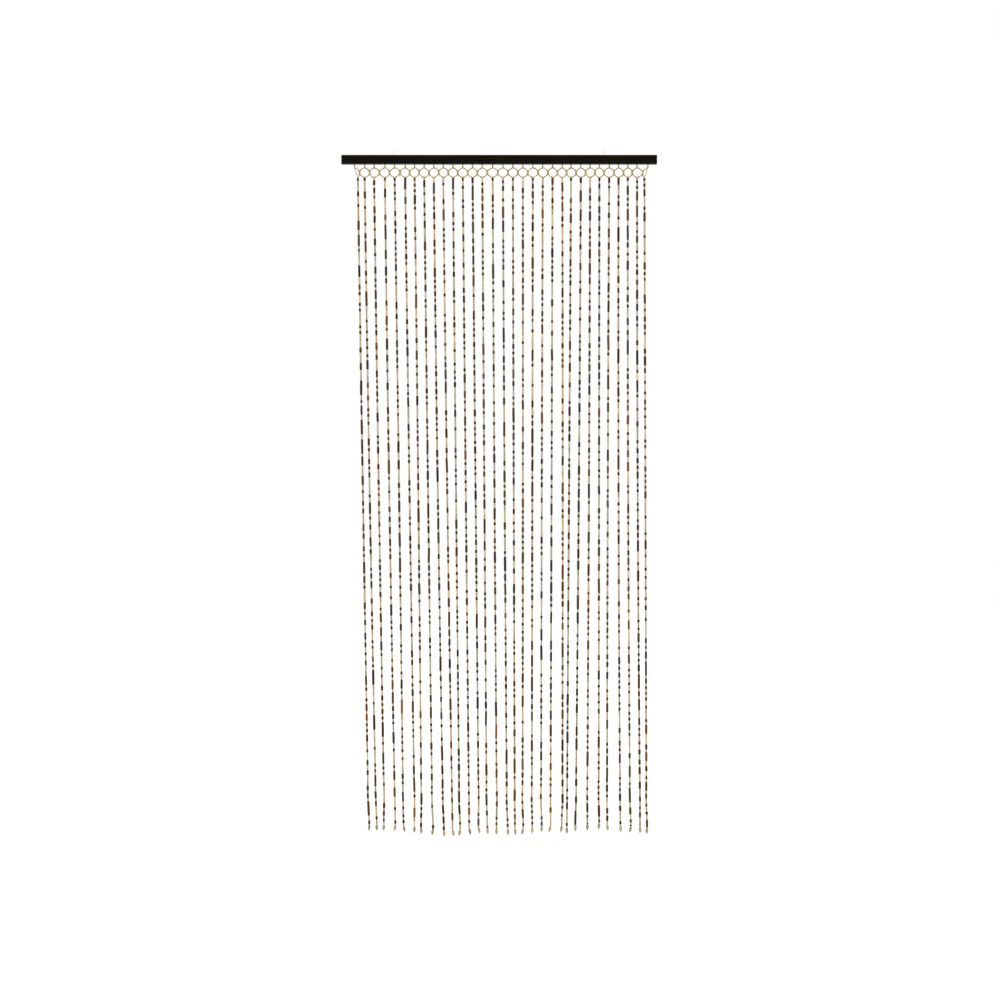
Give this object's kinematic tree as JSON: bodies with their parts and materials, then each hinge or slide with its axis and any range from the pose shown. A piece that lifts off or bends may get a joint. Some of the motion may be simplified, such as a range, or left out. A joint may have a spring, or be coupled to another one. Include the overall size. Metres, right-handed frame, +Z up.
{
  "type": "bamboo bead door curtain with its hanging bar",
  "caption": "Strands of bamboo tubes and beads hang from a net heading under a plain bar with screw eyes, and screen a doorway.",
  "frame": {"origin": "middle of the bar's top face, below the two screw eyes that the curtain hangs by", "axes": "+X along the bar to the viewer's right, +Y away from the viewer towards the wall or lintel, +Z up"},
  "size_m": [0.9, 0.02, 1.9553],
  "materials": {
    "bar_lacquer": "black lacquer, satin",
    "eye_wire": "bright plated wire",
    "bamboo": "natural and dark stained bamboo, satin"
  },
  "bodies": {
    "root": {"head_bar": "bar_lacquer", "screw_eye_left": "eye_wire", "screw_eye_right": "eye_wire", "net_and_strands": "bamboo"}
  },
  "joints": []
}
